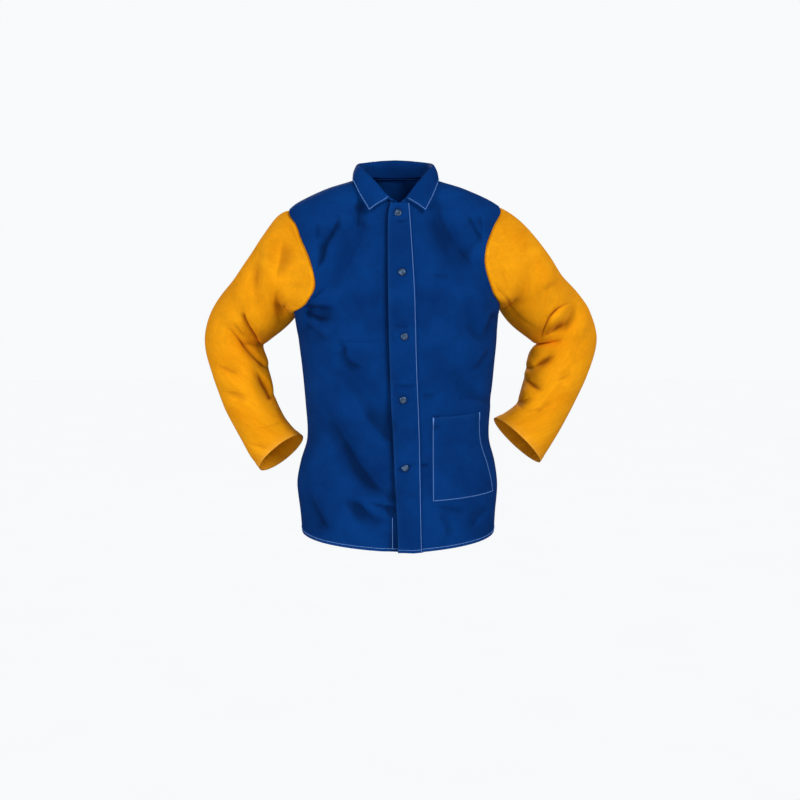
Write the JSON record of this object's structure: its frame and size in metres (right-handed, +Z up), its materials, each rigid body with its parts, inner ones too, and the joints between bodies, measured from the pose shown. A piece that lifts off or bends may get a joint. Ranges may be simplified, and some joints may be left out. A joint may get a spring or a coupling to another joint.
{
  "type": "welding jacket",
  "caption": "Blue cotton welding jacket with golden leather sleeves, turned-down collar, snap placket and a patch pocket, in its worn form with bent arms.",
  "frame": {"origin": "in the middle of the neck hole at shoulder height, where the jacket rests on its wearer's neck and shoulders", "axes": "+X to the wearer's left, +Z up, -Y out of the jacket's front"},
  "size_m": [0.8531, 0.3464, 0.8006],
  "materials": {
    "blue_cotton": "matt woven cotton",
    "golden_leather": "soft split leather",
    "snap_metal": "dark gunmetal",
    "stitch_thread": "pale blue sewing thread"
  },
  "bodies": {
    "root": {"front_left": "blue_cotton", "front_right": "blue_cotton", "back_panel": "blue_cotton", "placket": "blue_cotton", "pocket": "blue_cotton", "collar": "blue_cotton", "sleeve_left_upper": "golden_leather", "sleeve_left_lower": "golden_leather", "sleeve_right_upper": "golden_leather", "sleeve_right_lower": "golden_leather", "snap_1": "snap_metal", "snap_2": "snap_metal", "snap_3": "snap_metal", "snap_4": "snap_metal", "snap_5": "snap_metal"}
  },
  "joints": []
}
